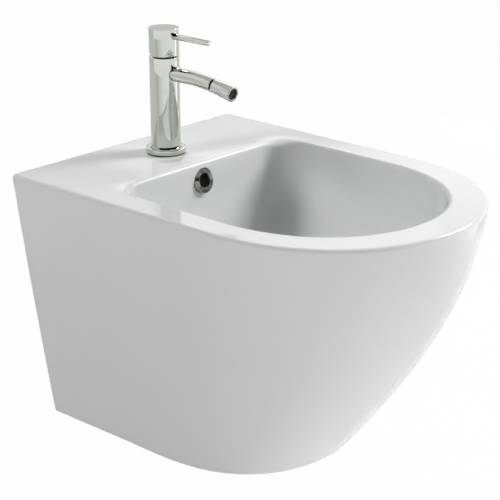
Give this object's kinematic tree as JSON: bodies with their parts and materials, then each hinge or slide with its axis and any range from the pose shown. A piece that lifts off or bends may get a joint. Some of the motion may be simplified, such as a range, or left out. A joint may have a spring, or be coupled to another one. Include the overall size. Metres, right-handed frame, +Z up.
{
  "type": "wall hung bidet",
  "caption": "Wall hung ceramic bidet, D-shaped and tapered towards the bottom, with a single-lever chrome tap, swivel nozzle, overflow and push-open waste.",
  "frame": {"origin": "on the wall face of the ceramic, midway between the two wall studs", "axes": "+Z up, +Y into the wall, the front faces -Y, +X to the right as seen from the front"},
  "size_m": [0.3588, 0.515, 0.4606],
  "materials": {
    "glazed_ceramic": "gloss white glazed vitreous china",
    "chrome": "polished chrome plate on brass",
    "brass": "plain turned brass",
    "steel": "zinc-plated or stainless steel",
    "rubber": "matte black rubber",
    "white_plastic": "matte white moulded plastic",
    "dark_plastic": "dark grey moulded plastic"
  },
  "bodies": {
    "root": {"bidet_body": "glazed_ceramic", "overflow_ring": "chrome", "waste_body": "chrome", "waste_seal": "rubber", "waste_cone_washer": "rubber", "waste_nut": "brass", "click_barrel": "white_plastic", "base_gasket": "rubber", "base_ring": "chrome", "tap_body": "chrome", "tap_stud": "steel", "horseshoe_gasket": "rubber", "horseshoe_washer": "steel", "tap_nut": "brass", "cartridge_seal": "rubber", "cartridge_body": "white_plastic", "cartridge_nut": "brass", "spout": "chrome", "spout_bush": "brass", "ball_stud": "chrome", "wall_stud_left": "steel", "stud_sleeve_left": "white_plastic", "stud_washer_left": "steel", "stud_nut_left": "steel", "wall_stud_right": "steel", "stud_sleeve_right": "white_plastic", "stud_washer_right": "steel", "stud_nut_right": "steel"},
    "handle_rotor": {"cartridge_rotor": "dark_plastic", "lever_pin": "steel"},
    "handle": {"cartridge_spindle": "steel", "handle_cap": "chrome", "lever_rod": "chrome", "grub_screw": "steel"},
    "swivel_ring": {"swivel_seal": "rubber"},
    "nozzle_head": {"nozzle": "chrome", "swivel_seat": "white_plastic", "aerator": "dark_plastic"},
    "plug": {"waste_plug": "chrome", "plug_seal": "rubber", "plug_stem": "brass"}
  },
  "joints": [
    {"name": "handle_turn", "type": "hinge", "parent": "root", "child": "handle_rotor", "pos_m": [0, -0.0651, 0.192], "axis": [0, 0, 1], "range_deg": [-45, 45]},
    {"name": "handle_lift", "type": "hinge", "parent": "handle_rotor", "child": "handle", "pos_m": [0, -0.0651, 0.192], "axis": [-1, 0, 0], "range_deg": [0, 18]},
    {"name": "nozzle_swing", "type": "hinge", "parent": "root", "child": "swivel_ring", "pos_m": [0, -0.14957, 0.17131], "axis": [0, -0.1771, 0.9842], "range_deg": [-8, 8]},
    {"name": "nozzle_tilt", "type": "hinge", "parent": "swivel_ring", "child": "nozzle_head", "pos_m": [0, -0.14957, 0.17131], "axis": [1, 0, 0], "range_deg": [-8, 8]},
    {"name": "plug_slide", "type": "slide", "parent": "root", "child": "plug", "axis": [0, 0, 1], "range_m": [0, 0.009]}
  ]
}
